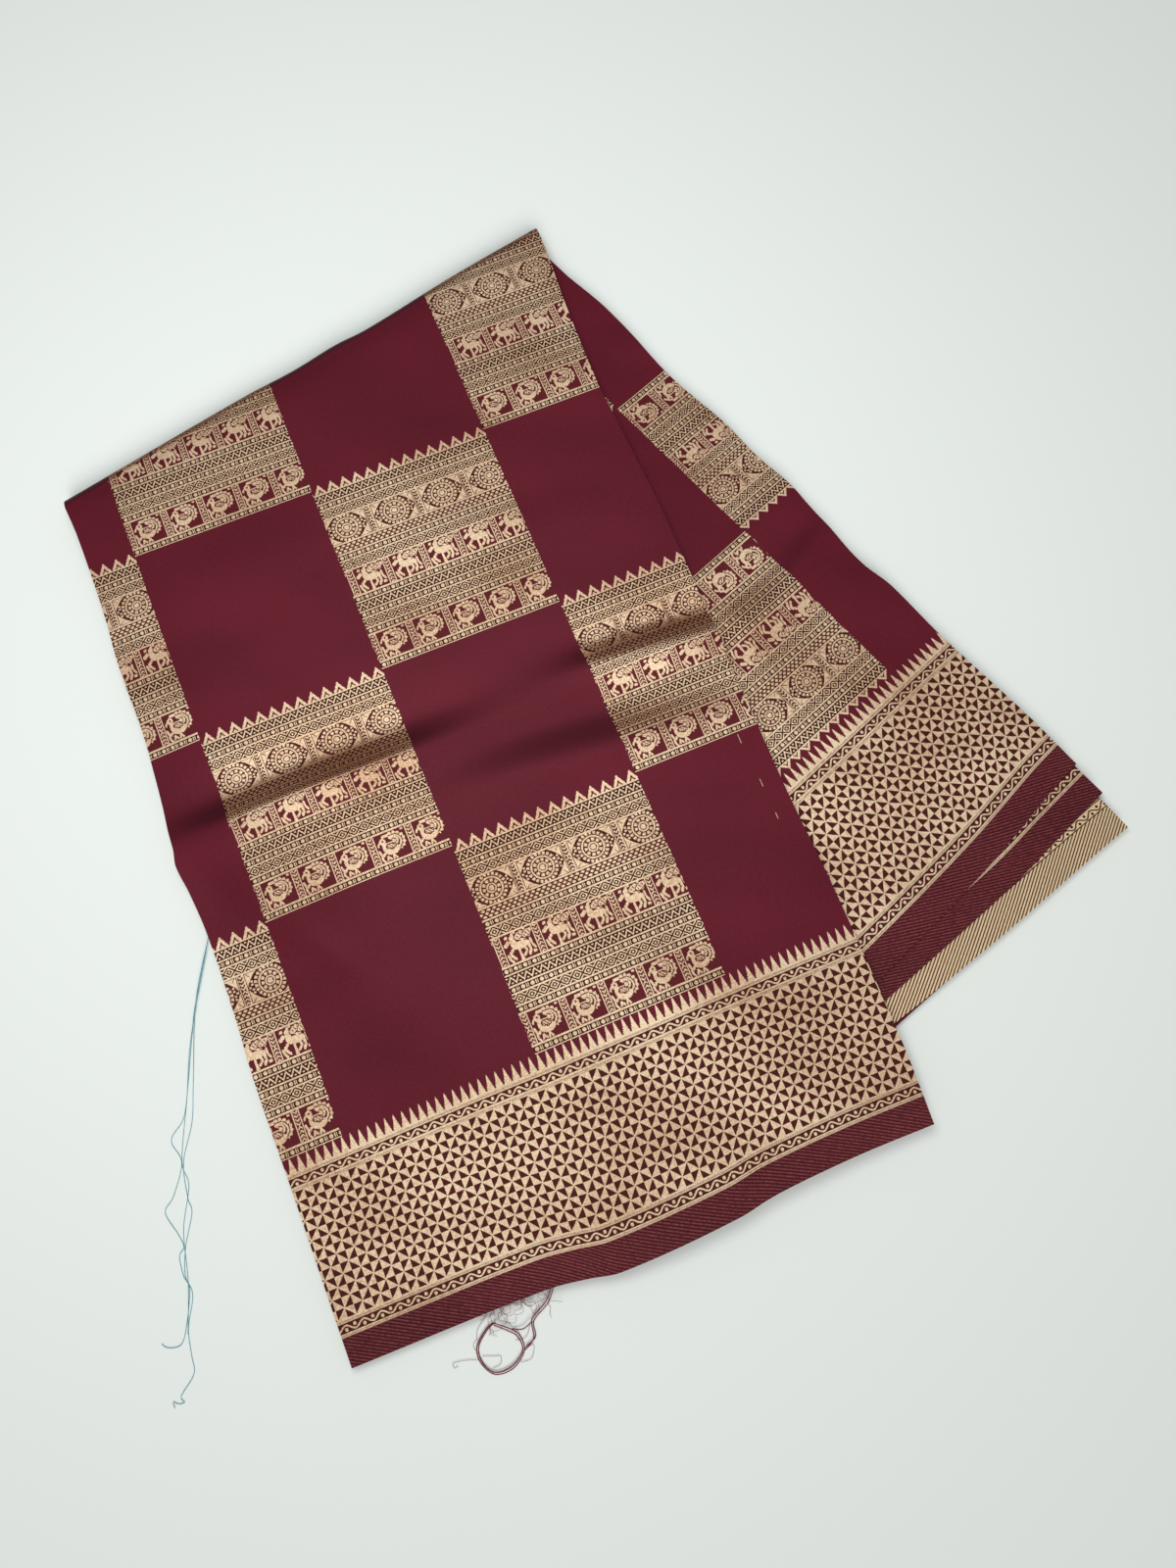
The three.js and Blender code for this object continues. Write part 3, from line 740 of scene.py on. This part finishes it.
BANDS = {
    "plain": Band((10, 10), None, 24, 16, 0, 0, 0, MAROON_GROUND),
    "bead": Band(BEAD, bead_chart, 24, 16, 0, 0, 24, BROWN_GROUND),
    "zigzag": Band(ZIGZAG, zigzag_chart, 24, 16, 0, 0, 48, BROWN_GROUND),
    "teeth": Band(TEETH, teeth_chart, 24, 16, 0, 16, 24, MAROON_GROUND),
    "hatch": Band(HATCH, hatch_chart, 24, 16, 0, 16, 48, TAN_GROUND),
    "diamond": Band(DIAMOND, diamond_chart, 24, 32, 1, 0, 0, TAN_GROUND),
    "spire": Band(SPIRE, spire_chart, 24, 32, 1, 0, 24, MAROON_GROUND),
    "lattice": Band(LATTICE, lattice_chart, 24, 32, 1, 0, 48, WARM_GROUND),
    "wave": Band(WAVE, wave_chart, 48, 16, 2, 0, 0, WARM_GROUND),
    "pinwheel": Band(PINWHEEL, pinwheel_chart, 48, 32, 3, 0, 0, WARM_GROUND, phase=-8.8),
    "peacock": Band(PEACOCK, peacock_chart, 72, 32, 4, 0, 0, CELL_GROUND, phase=1.3),
    "horse": Band(HORSE, horse_chart, 72, 32, 5, 0, 0, CELL_GROUND, phase=-18.2),
    "wheel": Band(WHEEL, wheel_chart, 72, 32, 6, 0, 0, WARM_GROUND, phase=2.3, mirror=True),
}
KIND_NAMES = list(BANDS)

# The bands from the hem to the field, and those of a check from its foot to its teeth, with the
# height of each
BORDER_BANDS = (
    ("plain", 15.6), ("hatch", 2.2), ("wave", 4.9), ("hatch", 2.2), ("pinwheel", 72.8), ("hatch", 2.2),
    ("wave", 5.0), ("hatch", 2.4), ("spire", 9.3),
)
CHECK_BANDS = tuple((name, BANDS[name].size[1]) for name in (
    "bead", "peacock", "bead", "diamond", "bead", "zigzag", "bead", "horse", "diamond", "bead", "lattice",
    "wheel", "diamond", "bead", "zigzag", "teeth",
))
RAGGED_EDGE = 1.5
SHORT_TEETH = 5.0
BORDER_SPAN = 120
CHECK_SPAN = 140


def band_steps(bands, span):
    """Steps of a ramp for a stack of bands: each holds its foot, the height of its repeat and its kind."""
    steps = []
    foot = 0.0
    for name, height in bands:
        repeat = BANDS[name].size[1] if name == "pinwheel" else height
        kind = (KIND_NAMES.index(name) + 0.5) / KINDS
        steps.append((foot / span, (foot / span, repeat / span, kind, 1)))
        foot += height
    steps.append(((foot - 0.7) / span, (foot / span, 1, 0.5 / KINDS, 1)))
    return steps


def sheet_steps(sheet):
    """Steps of one sheet of bits. Each row holds three numbers of 24 bits, the chart's columns from
    the left as halves, quarters and so on."""
    bits = np.zeros((SHEET_ROWS, 3 * BITS))
    for band in BANDS.values():
        if band.sheet == sheet and band.chart:
            width, height = band.size
            if band.mirror:
                height = height / 2
            x = (np.arange(band.columns) + 0.5) / band.columns * width
            y = (np.arange(band.rows) + 0.5) / band.rows * height
            part = band.chart(*np.meshgrid(x, y))
            bits[band.row:band.row + band.rows, band.column:band.column + band.columns] = part
    weights = 0.5 ** (np.arange(BITS) + 1)
    numbers = (bits.reshape(SHEET_ROWS, 3, BITS) * weights).sum(axis=2)
    return [(row / SHEET_ROWS, (*numbers[row], 1)) for row in range(SHEET_ROWS)]


def operator(operation, swapped=False):
    """A method for one sign of arithmetic, which adds the math node that does it."""

    def method(self, other):
        pair = (other, self) if swapped else (self, other)
        return self.graph.math(operation, *pair)

    return method


class Value:
    """What a socket carries. Sums are written with it as with a number."""

    def __init__(self, graph, socket):
        self.graph = graph
        self.socket = socket

    __add__ = operator("ADD")
    __sub__ = operator("SUBTRACT")
    __rsub__ = operator("SUBTRACT", swapped=True)
    __mul__ = operator("MULTIPLY")
    __truediv__ = operator("DIVIDE")
    __gt__ = operator("GREATER_THAN")
    __lt__ = operator("LESS_THAN")


class Graph:
    """Adds shader nodes to one material. The methods return values of the node that they add."""

    def __init__(self, name):
        self.material = bpy.data.materials.new(name)
        self.material.use_nodes = True
        self.tree = self.material.node_tree
        self.tree.nodes.clear()

    def node(self, kind, inputs, **settings):
        """Adds a node with values, numbers or colours at its inputs, and returns all its outputs."""
        node = self.tree.nodes.new(kind)
        for key, value in settings.items():
            setattr(node, key, value)
        for key, value in inputs.items():
            socket = node.inputs[key]
            if isinstance(value, Value):
                self.tree.links.new(value.socket, socket)
            elif socket.type == "RGBA":
                socket.default_value = (*value, 1)
            else:
                socket.default_value = value
        return [Value(self, socket) for socket in node.outputs]

    def math(self, operation, *values):
        return self.node("ShaderNodeMath", dict(enumerate(values)), operation=operation)[0]

    def choose(self, factor, low, high):
        return self.node("ShaderNodeMix", {0: factor, 2: low, 3: high}, data_type="FLOAT")[0]

    def blend(self, factor, low, high, kind="MIX"):
        inputs = {0: factor, 6: low, 7: high}
        return self.node("ShaderNodeMix", inputs, data_type="RGBA", blend_type=kind)[2]

    def steps(self, factor, stops):
        """A ramp without easing: each stop's colour and alpha hold up to the next stop."""
        colour, alpha = self.node("ShaderNodeValToRGB", {0: factor})
        ramp = colour.socket.node.color_ramp
        ramp.interpolation = "CONSTANT"
        ramp.elements.remove(ramp.elements[1])
        ramp.elements[0].position = stops[0][0]
        ramp.elements[0].color = stops[0][1]
        for place, held in stops[1:]:
            ramp.elements.new(place).color = held
        return colour, alpha

    def split(self, colour):
        return self.node("ShaderNodeSeparateColor", {0: colour})

    def cloth(self):
        """The place on the cloth in millimetres."""
        place = self.node("ShaderNodeUVMap", {}, uv_map="Cloth")[0]
        along, up, _ = self.node("ShaderNodeSeparateXYZ", {0: place})
        return along * 1000, up * 1000

    def place(self, kind):
        return Value(self, self.tree.nodes.new("ShaderNodeTexCoord").outputs[kind])

    def noise(self, scale, detail=2.0, stretch=(1, 1, 1)):
        place = self.node("ShaderNodeMapping", {"Vector": self.place("Object"), "Scale": stretch})[0]
        return self.node("ShaderNodeTexNoise", {"Vector": place, "Scale": scale, "Detail": detail})[0]

    def finish(self, **inputs):
        """Adds the shader, with spaces in its inputs' names written as underscores."""
        inputs = {key.replace("_", " "): value for key, value in inputs.items()}
        shader = self.node("ShaderNodeBsdfPrincipled", inputs)[0]
        self.node("ShaderNodeOutputMaterial", {"Surface": shader})
        return self.material


def check_place(graph, along, up, flipped):
    """Where a place on the cloth lies on its check: x from its left side and y from its foot. In a
    plain check y is past the teeth of the check before it."""
    from_column = along - FIRST_COLUMN
    from_row = up - FIRST_ROW
    column = graph.math("FLOOR", (graph.noise(380, 1) * RAGGED_EDGE + from_column) / CHECK_WIDTH)
    row = graph.math("FLOOR", from_row / CHECK_PITCH)
    x = from_column - column * CHECK_WIDTH
    y = from_row - row * CHECK_PITCH
    plain = 1 - graph.math("FRACT", (column + row) * 0.5) * 2
    if flipped:
        return CHECK_WIDTH - x, CHECK_PITCH - y + plain * CHECK_PITCH
    skip = (row < 0.5) * CHECK_SPAN
    return x, y + plain * (skip + CHECK_PITCH)


def gold_mask(graph, along, up, flipped):
    """1 where gold shows and 0 elsewhere, and the ground's colour, read from the charts."""
    x, y = check_place(graph, along, up, flipped)
    in_field = up > FIRST_ROW
    border, _ = graph.steps(up / BORDER_SPAN, band_steps(BORDER_BANDS, BORDER_SPAN))
    check_bands = (*CHECK_BANDS[:-1], ("teeth", SHORT_TEETH)) if flipped else CHECK_BANDS
    check, _ = graph.steps(y / CHECK_SPAN, band_steps(check_bands, CHECK_SPAN))
    foot, height, kind = graph.split(graph.blend(in_field, border, check))
    span = graph.choose(in_field, float(BORDER_SPAN), float(CHECK_SPAN))
    place = graph.choose(in_field, up, y)
    across = graph.choose(in_field, along, x)
    part = graph.math("FRACT", (place / span - foot) / height)
    repeats = []
    seats = []
    grounds = []
    for number, band in enumerate(BANDS.values()):
        width = band.size[0]
        repeat = (1 / width, band.phase / width, band.columns / MOST_COLUMNS, float(band.mirror))
        seat = (band.sheet, band.row / SHEET_ROWS, band.column, band.rows / SHEET_ROWS)
        repeats.append((number / KINDS, repeat))
        seats.append((number / KINDS, seat))
        grounds.append((number / KINDS, (*band.ground, 1)))
    repeat, mirror = graph.steps(kind, repeats)
    seat, share = graph.steps(kind, seats)
    ground, _ = graph.steps(kind, grounds)
    per_width, phase, count = graph.split(repeat)
    sheet, first_row, first_column = graph.split(seat)
    part = graph.choose(mirror, part, graph.math("ABSOLUTE", part * 2 - 1))
    row = part * share + first_row
    turn = graph.math("FRACT", across * per_width + phase)
    column = graph.math("FLOOR", turn * count * MOST_COLUMNS + first_column)
    bits, _ = graph.steps(row, sheet_steps(0))
    for number in range(1, SHEETS + 1):
        other, _ = graph.steps(row, sheet_steps(number))
        bits = graph.blend(sheet > number - 0.5, bits, other)
    left, middle, right = graph.split(bits)
    past_left = column > BITS - 0.5
    past_middle = column > 2 * BITS - 0.5
    bits = graph.choose(past_middle, graph.choose(past_left, left, middle), right)
    place = column - (past_left + past_middle) * BITS
    return graph.math("FRACT", bits * graph.math("POWER", 2, place)) > BIT_SET, ground


def finish_cloth(graph, colour, shine, height, strength):
    """Ends a cloth material. Silk and gold thread both throw back light in their own colour, so the
    shader is part metal; the bump is that of the threads."""
    bump = graph.node("ShaderNodeBump", {"Strength": strength, "Distance": 0.0003, "Height": height})[0]
    return graph.finish(
        Base_Color=colour, Metallic=shine, Roughness=0.5, Specular_IOR_Level=0.12, Normal=bump)


def ribs(graph, along, up, slope=0.8, pitch=0.9):
    """Fine diagonal ribs from 0 to 0.5, pitch millimetres apart; the usual ones are the silk's twill."""
    return graph.math("PINGPONG", (up * slope + along) / pitch, 0.5)


def selvedge_lines(graph, along, up, slope):
    """1 on the fine slanting lines of the selvedge's twill, 1.75 mm apart."""
    return ribs(graph, along, up, slope, TWILL_RUN) > 0.27


def painted_lean_shade(graph, turn):
    """0 where the cloth lies flat, up to 1 where it leans down towards the fold across the strip. There the
    gold and the ground take painted shade, read from the object's normals, for the light that comes from the
    hem's side."""
    across = (-sin(turn), cos(turn), 0)
    inputs = {0: graph.place("Normal"), 1: across}
    lean_shade = graph.node("ShaderNodeVectorMath", inputs, operation="DOT_PRODUCT")[1]
    inputs = {"Value": lean_shade, "From Min": 0.0, "From Max": 0.38}
    return graph.node("ShaderNodeMapRange", inputs, interpolation_type="SMOOTHSTEP")[0]


def brocade_material(name, flipped, colours):
    """Maroon silk with the gold checks and border, both from charts, and twilled threads, with painted shade
    where the cloth leans towards the fold and broad patches of painted sheen.
    """
    graph = Graph(name)
    along, up = graph.cloth()
    gold, ground = gold_mask(graph, along, up, flipped)
    twill = ribs(graph, along, up)
    slub = graph.noise(900)
    # Broad patches of painted sheen: the gold and the ground lighter and darker in turn
    sheen = graph.noise(11, 1, (1, 2, 1)) - 0.5
    # The mix from the gold's shade to the gold: twill ribs and fine slub vary it in fine lines and specks,
    # the border's gold is a little lighter, and the sheen adds painted light and shade
    tone_and_sheen = twill * 0.8 + slub * 1.2 + (up < FIRST_ROW) * 0.08 + sheen - 0.22
    gold_colour = graph.blend(tone_and_sheen, tuple(colours.gold_shade), tuple(colours.gold))
    # Painted shade where the cloth leans down towards the fold, stronger on the gold than on the ground
    lean_shade = painted_lean_shade(graph, BACK_TURN if flipped else FRONT_TURN)
    gold_colour = graph.blend(lean_shade * 0.75, gold_colour, LEAN_SHADE_GOLD)
    ground = graph.blend(lean_shade * 0.6, ground, LEAN_SHADE_GROUND)
    selvedge = up < SELVEDGE
    ground = graph.blend(selvedge * 0.7, ground, SELVEDGE_GROUND)
    lines = selvedge_lines(graph, along, up, -TWILL_SLOPE if flipped else TWILL_SLOPE)
    dashes = graph.noise(620, 1) - 0.1
    ground = graph.blend(selvedge * lines * dashes, ground, SELVEDGE_PINK)
    # The ground takes the slub's specks and the painted sheen
    ground = graph.blend(1.0, ground, slub * 0.5 + 0.75 + sheen * 0.5, "MULTIPLY")
    colour = graph.blend(gold, ground, gold_colour)
    return finish_cloth(graph, colour, graph.choose(gold, 0.2, 0.45), gold * 0.8 + twill, 0.3)


def maroon_material(name, colours):
    """Plain maroon silk for the stacked layers' edges."""
    graph = Graph(name)
    colour = graph.blend(graph.noise(700), linear(62, 16, 28), tuple(colours.maroon))
    return finish_cloth(graph, colour, 0.3, ribs(graph, *graph.cloth()), 0.3)


def floats_material(name):
    """The wrong side of the selvedge and border: gold floats between dark slanting lines, then the
    first bands of the border with gold and ground changed over."""
    graph = Graph(name)
    along, up = graph.cloth()
    gold, _ = gold_mask(graph, along, up, True)
    lines = selvedge_lines(graph, along, up, TWILL_SLOPE) * 0.95
    top = SELVEDGE + HATCH[1]
    rim = graph.math("COMPARE", up, top, 0.35)
    dark = graph.math("MAXIMUM", graph.choose(up < top, gold, lines), rim)
    gold_colour = graph.blend(graph.noise(600) + 0.2, linear(220, 178, 132), linear(253, 229, 190))
    colour = graph.blend(dark, gold_colour, linear(84, 48, 30))
    return finish_cloth(graph, colour, 0.5, 1 - dark, 0.4)


def thread_material(name, low, high):
    """Spun thread: two tones along its length."""
    graph = Graph(name)
    slub = graph.noise(500)
    return finish_cloth(graph, graph.blend(slub, low, high), 0.1, slub, 0.2)


def colour_setting(name, description, default):
    return bpy.props.FloatVectorProperty(
        name=name, description=description, subtype="COLOR", size=3, min=0, max=1, default=default)


class SareeColours(bpy.types.PropertyGroup):
    """Colours of the silk and of the gold thread."""

    maroon: colour_setting("Maroon", "Ground of the silk", MAROON_GROUND)
    gold: colour_setting("Gold", "Gold thread in the light", linear(246, 221, 188))
    gold_shade: colour_setting("Gold shade", "Gold thread between its ribs", linear(162, 110, 70))
    table: colour_setting("Table", "Surface that the cloth lies on", linear(231, 235, 231))


class SareeSizes(bpy.types.PropertyGroup):
    """Mesh counts and the stage's sizes."""

    columns: bpy.props.IntProperty(
        name="Columns", description="Faces across the strip", default=150, min=8, max=200)
    rows: bpy.props.IntProperty(
        name="Rows", description="Faces from hem to fold", default=260, min=12, max=300)
    camera_height: bpy.props.FloatProperty(
        name="Camera height", description="Height of the camera", unit="LENGTH", default=0.7007)
    camera_tilt: bpy.props.FloatProperty(
        name="Camera tilt", description="Tilt from straight down", subtype="ANGLE",
        default=radians(14.15))


def add_light(name, kind, place, aim, energy, colour, **settings):
    light = bpy.data.lights.new(name, kind)
    light.energy = energy
    light.color = colour
    for key, value in settings.items():
        setattr(light, key, value)
    lamp = add_object(name, light)
    lamp.location = place
    lamp.rotation_euler = (Vector(aim) - Vector(place)).to_track_quat("-Z", "Y").to_euler()


def wear(piece, material, node):
    """Gives a piece its finish, hangs it on the body and hides the solid that it stands for."""
    piece.data.materials.append(material)
    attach(piece, BODY)
    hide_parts(node)


def loose_threads():
    """The threads that hang off the front half onto the table, and loose ends of its weave."""
    teal = thread_material("teal_thread", linear(52, 132, 146), linear(96, 172, 184))
    maroon = thread_material("maroon_thread", linear(96, 10, 36), linear(140, 34, 62))
    pale = thread_material("pale_thread", linear(190, 150, 140), linear(226, 200, 180))
    stitches = []
    for s, t, length in FLOAT_STITCHES:
        places = np.linspace(t - length / 2, t + length / 2, 3)
        line = to_part(FRONT, s + 0 * places, places, front_top(s, places) + GAP + CLOTH + 0.1)
        stitches.append([tuple(spot) for spot in line])
    pieces = [
        (strands_mesh("teal_threads", [on_table(r, 0.3, 3.0) for r in TEAL_THREADS], 0.17), teal),
        (strands_mesh("tangle_strands", [on_table(r, 0.7, 2.0) for r in TANGLE_STRANDS], 0.3), maroon),
        (strands_mesh("tangle_ends", [on_table(r, 0.4) for r in TANGLE_ENDS] + fluff(26, 7), 0.09), maroon),
        (strands_mesh("float_stitches", stitches, 0.25), pale),
    ]
    for piece, material in pieces:
        piece.data.materials.append(material)
        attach(piece, BODY)
    return [piece for piece, _ in pieces]


class SAREE_OT_stage(bpy.types.Operator):
    """Adds the table, the soft light and the camera"""

    bl_idname = "saree.stage"
    bl_label = "Stage"

    def execute(self, context):
        sizes = context.scene.saree_sizes
        colours = context.scene.saree_colours
        camera = bpy.data.cameras.new("camera")
        camera.lens = 27
        camera.sensor_width = 36
        camera.clip_start = 0.01
        eye = add_object("camera", camera)
        eye.location = (0.0058, -0.2088, sizes.camera_height)
        eye.rotation_euler = (sizes.camera_tilt, 0, 0)
        context.scene.camera = eye
        mesh = bpy.data.meshes.new("table")
        corners = [(x * TABLE_REACH, y * TABLE_REACH, 0) for x, y in ((-1, -1), (1, -1), (1, 1), (-1, 1))]
        mesh.from_pydata(corners, [], [(0, 1, 2, 3)])
        table = add_object("table", mesh)
        graph = Graph("table")
        mesh.materials.append(graph.finish(Base_Color=tuple(colours.table), Roughness=0.7))
        add_light("sun", "SUN", (0.25, -1.35, 1.0), (0, 0, 0), 2.25, (1.0, 0.99, 0.97),
                  angle=radians(32))
        add_light("pool", "AREA", (-0.16, 0.1, 0.85), (-0.14, 0.08, 0), 3.6, (0.97, 1.0, 0.99),
                  shape="DISK", size=0.5)
        world = bpy.data.worlds.new("world")
        world.use_nodes = True
        background = world.node_tree.nodes["Background"]
        background.inputs["Color"].default_value = (0.93, 0.97, 1.0, 1)
        background.inputs["Strength"].default_value = 0.25
        context.scene.world = world
        context.scene.view_settings.view_transform = "Standard"
        return {"FINISHED"}


class SAREE_OT_front_half(bpy.types.Operator):
    """Adds the top layer of the front half and the hidden layers below it"""

    bl_idname = "saree.front_half"
    bl_label = "Front half"

    def execute(self, context):
        sizes = context.scene.saree_sizes
        colours = context.scene.saree_colours
        past = 1 + even(24)[1:]
        rows = (even(sizes.columns), np.concatenate([even(sizes.rows), past]), even(1))
        panel = warped_box("front_panel_cloth", rows, front_panel_surface)
        wear(panel, brocade_material("brocade_front", False, colours), "front_panel")
        rows = (even(40), np.concatenate([even(90), [2]]), even(30))
        layers = warped_box("front_layers_cloth", rows, front_layers_surface)
        wear(layers, maroon_material("maroon_layers", colours), "front_layers")
        threads = loose_threads()
        return {"FINISHED"}


class SAREE_OT_back_half(bpy.types.Operator):
    """Adds the back half: its top layer, the two that peek out below it and the hidden ones"""

    bl_idname = "saree.back_half"
    bl_label = "Back half"

    def execute(self, context):
        sizes = context.scene.saree_sizes
        colours = context.scene.saree_colours
        brocade = brocade_material("brocade_back", True, colours)
        maroon = maroon_material("maroon_back_layers", colours)
        floats = floats_material("gold_floats_side")
        rows = (even(sizes.columns), even(sizes.rows - 60), even(1))
        panel = warped_box("back_panel_cloth", rows, back_panel_surface)
        wear(panel, brocade, "back_panel")
        rows = (even(120), even(30), even(1))
        second = warped_box("back_second_cloth", rows, back_strip_surface(SECOND_HEM, SECOND_FLOOR))
        wear(second, brocade, "back_second_layer")
        third = warped_box("back_third_cloth", rows, back_strip_surface(THIRD_HEM, THIRD_FLOOR))
        wear(third, floats, "back_third_layer")
        stations = np.concatenate([even(10), [1.05], np.linspace(1.1, 2, 30)])
        layers = warped_box("back_layers_cloth", (even(40), stations, even(24)), back_layers_surface)
        wear(layers, maroon, "back_layers")
        return {"FINISHED"}


class SAREE_PT_panel(bpy.types.Panel):
    """Lists the saree's steps and settings in the sidebar"""

    bl_idname = "SAREE_PT_panel"
    bl_label = "Silk Saree"
    bl_space_type = "VIEW_3D"
    bl_region_type = "UI"
    bl_category = "Saree"

    def draw(self, context):
        layout = self.layout
        for group in (context.scene.saree_sizes, context.scene.saree_colours):
            for name in group.__annotations__:
                layout.prop(group, name)
        for step in STEPS:
            layout.operator(step.bl_idname)


STEPS = (SAREE_OT_stage, SAREE_OT_back_half, SAREE_OT_front_half)
CLASSES = (SareeColours, SareeSizes, *STEPS, SAREE_PT_panel)


def register():
    for each in CLASSES:
        bpy.utils.register_class(each)
    bpy.types.Scene.saree_colours = bpy.props.PointerProperty(type=SareeColours)
    bpy.types.Scene.saree_sizes = bpy.props.PointerProperty(type=SareeSizes)


def unregister():
    del bpy.types.Scene.saree_sizes
    del bpy.types.Scene.saree_colours
    for each in reversed(CLASSES):
        bpy.utils.unregister_class(each)


def main():
    register()
    bpy.ops.saree.stage()
    bpy.ops.saree.back_half()
    bpy.ops.saree.front_half()


if __name__ == "__main__":
    main()
